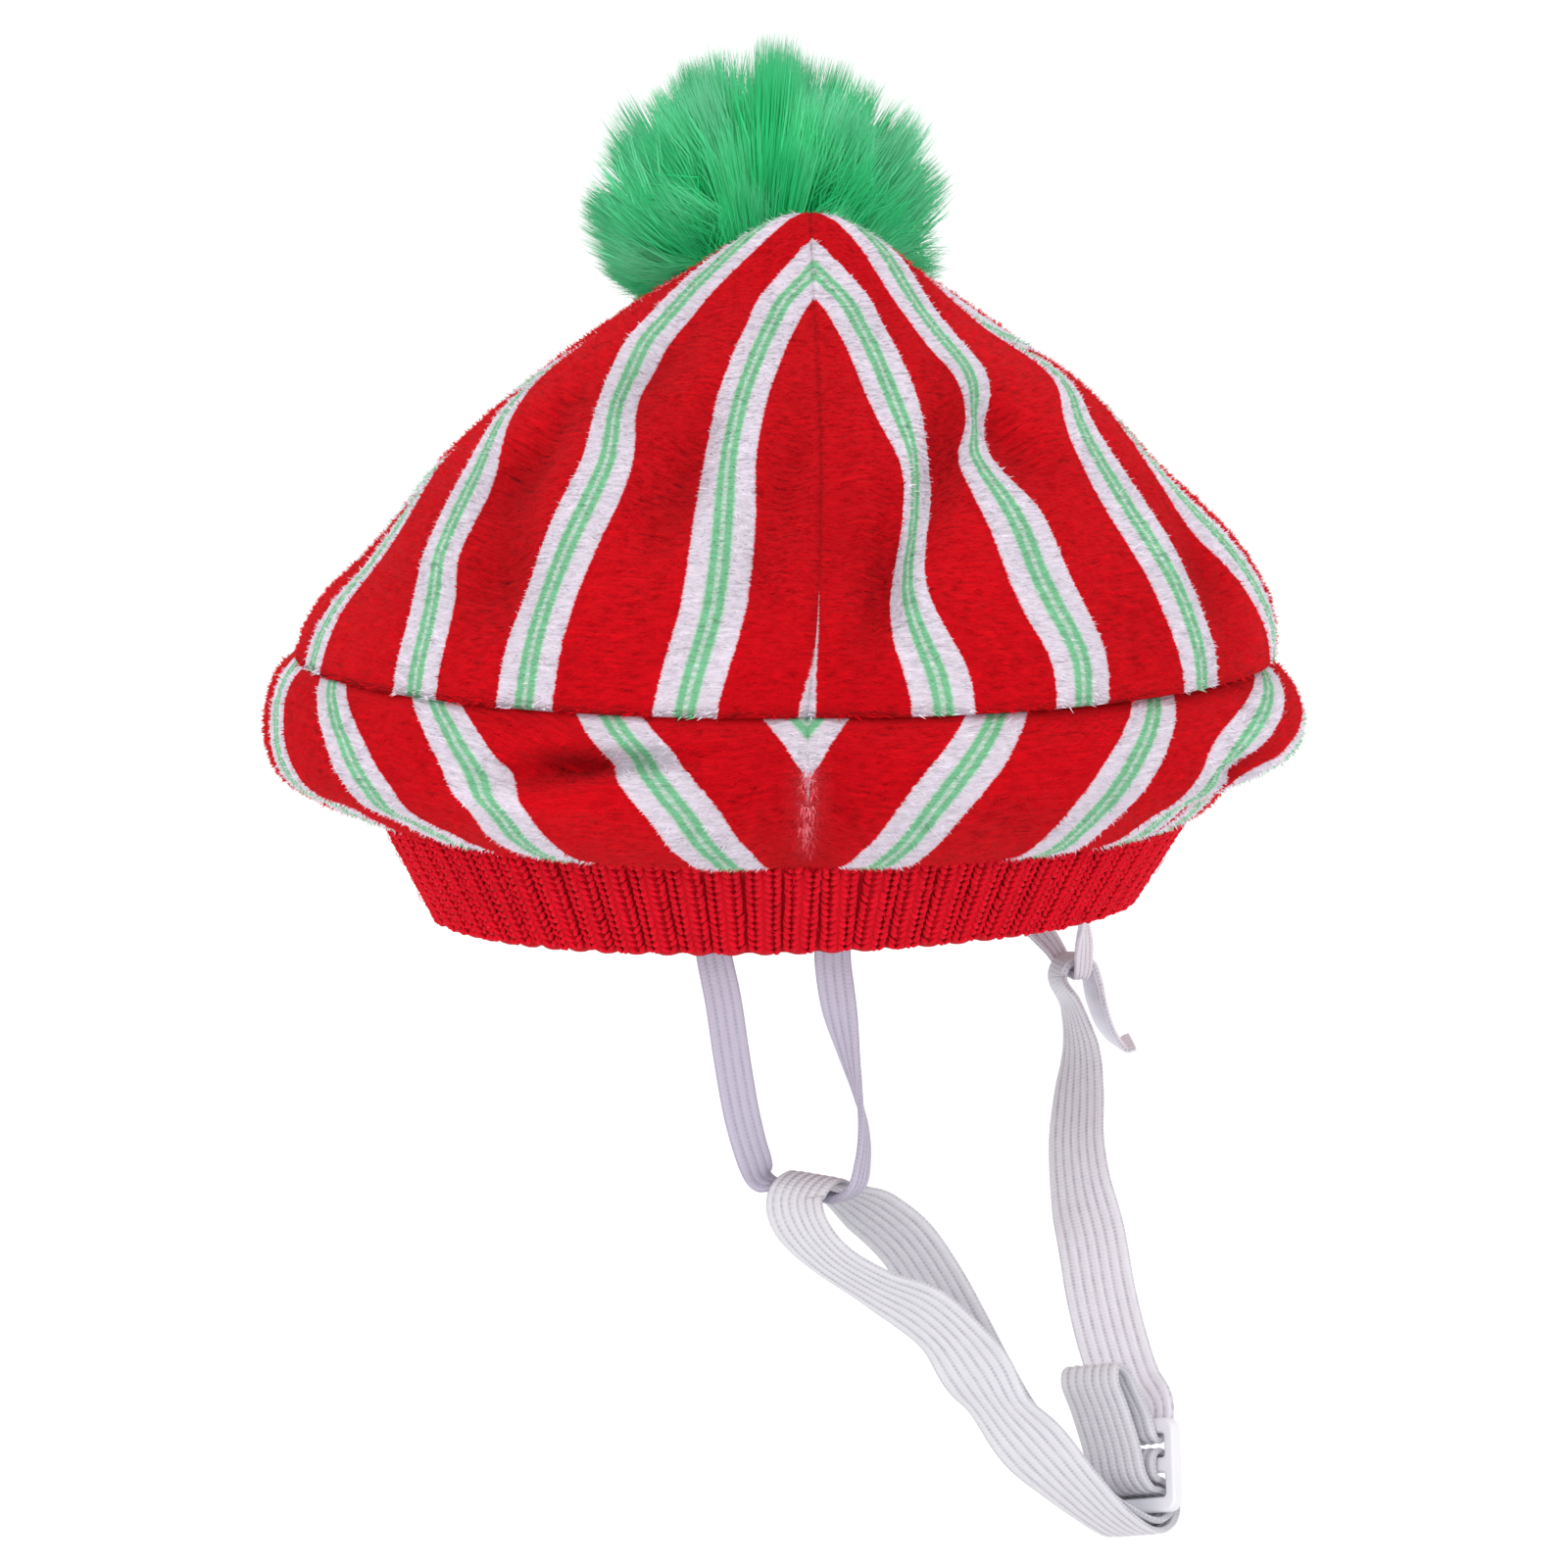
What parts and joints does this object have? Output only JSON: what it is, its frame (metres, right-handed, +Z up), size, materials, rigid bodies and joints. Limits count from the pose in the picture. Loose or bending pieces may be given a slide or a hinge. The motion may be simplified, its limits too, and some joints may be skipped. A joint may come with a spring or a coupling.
{
  "type": "pet hat",
  "caption": "Small striped plush beret for a cat or little dog, with a fur pompom, a ribbed knit band round its mouth and an elastic chin strap with a slide.",
  "frame": {"origin": "middle of the mouth of the knit band, where the top of the head goes in", "axes": "+Z up out of the crown, -Y towards the front seam of the crown, +X towards its right side"},
  "size_m": [0.1392, 0.1378, 0.1962],
  "materials": {
    "plush": "short pile, red with white and green stripes",
    "knit": "rib knit, red",
    "fur": "long faux fur, green",
    "elastic": "woven elastic, white",
    "plastic": "moulded, white"
  },
  "bodies": {
    "root": {"crown_gore_front_left": "plush", "crown_gore_front_right": "plush", "crown_gore_back_left": "plush", "crown_gore_back_right": "plush", "under_ring_left": "plush", "under_ring_right": "plush", "knit_band": "knit", "pompom": "fur", "near_loop": "elastic", "far_loop": "elastic", "chin_strap": "elastic", "strap_slide": "plastic"}
  },
  "joints": []
}
